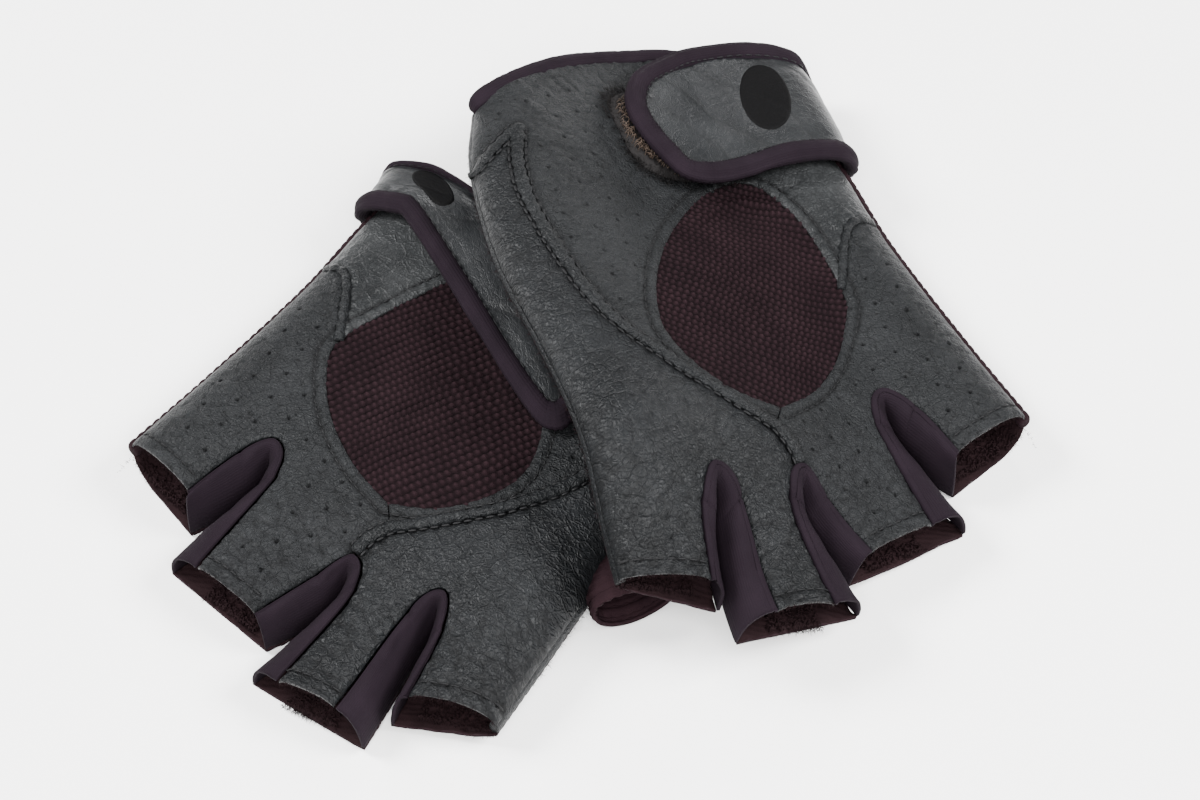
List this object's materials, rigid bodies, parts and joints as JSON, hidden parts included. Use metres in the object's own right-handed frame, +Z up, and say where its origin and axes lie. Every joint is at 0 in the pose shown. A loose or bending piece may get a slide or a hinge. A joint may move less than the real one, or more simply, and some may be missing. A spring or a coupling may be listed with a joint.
{
  "type": "half-finger training gloves",
  "caption": "Pair of half-finger leather training gloves, palms up, one lying across the other, with knitted backs, stretch finger walls and hook-and-loop wrist straps.",
  "frame": {"origin": "on the surface that the pair lies on, below the middle of the pair's bounding box", "axes": "+Z up out of the palms, +Y towards the wrists, +X towards the right glove's side"},
  "size_m": [0.2052, 0.1956, 0.0444],
  "materials": {
    "leather": "satin charcoal leather",
    "worn_leather": "satin charcoal leather, paler where it is worn",
    "knit": "matt ribbed knit",
    "lycra": "fine stretch jersey with a low sheen",
    "pile": "fuzzy loop pile",
    "hook": "matt woven hook tape",
    "emblem": "matt rubber print"
  },
  "bodies": {
    "left_glove": {"left_wrist_panel": "leather", "left_grip_panel": "leather", "left_finger_panel": "leather", "left_heel_strip": "worn_leather", "left_palm_window": "knit", "left_back_panel": "knit", "left_fourchette_index_middle": "lycra", "left_fourchette_middle_ring": "lycra", "left_fourchette_ring_little": "lycra", "left_thumb_stall": "knit", "left_wrist_binding": "lycra", "left_strap_base": "lycra", "left_loop_patch": "pile"},
    "right_glove": {"right_wrist_panel": "leather", "right_grip_panel": "leather", "right_finger_panel": "leather", "right_heel_strip": "worn_leather", "right_palm_window": "knit", "right_back_panel": "knit", "right_fourchette_index_middle": "lycra", "right_fourchette_middle_ring": "lycra", "right_fourchette_ring_little": "lycra", "right_thumb_stall": "knit", "right_wrist_binding": "lycra", "right_strap_base": "lycra", "right_loop_patch": "pile"},
    "left_strap": {"left_strap": "worn_leather", "left_strap_binding": "lycra", "left_strap_emblem": "emblem", "left_hook_patch": "hook"},
    "right_strap": {"right_strap": "worn_leather", "right_strap_binding": "lycra", "right_strap_emblem": "emblem", "right_hook_patch": "hook"}
  },
  "joints": [
    {"name": "right_glove_lift", "type": "slide", "parent": "left_glove", "child": "right_glove", "axis": [0, 0, 1], "range_m": [0, 0.17]},
    {"name": "left_strap_peel", "type": "hinge", "parent": "left_glove", "child": "left_strap", "pos_m": [-0.05015, 0.05511, 0.0054], "axis": [-0.5, -0.866, 0], "range_deg": [0, 100]},
    {"name": "right_strap_peel", "type": "hinge", "parent": "right_glove", "child": "right_strap", "pos_m": [0.0612, 0.07993, 0.0054], "axis": [-0.342, 0.9397, 0], "range_deg": [0, 118]}
  ],
  "couplings": [
    {"joint": "left_strap_peel", "follows": "right_glove_lift", "rad_per_m": 10}
  ]
}
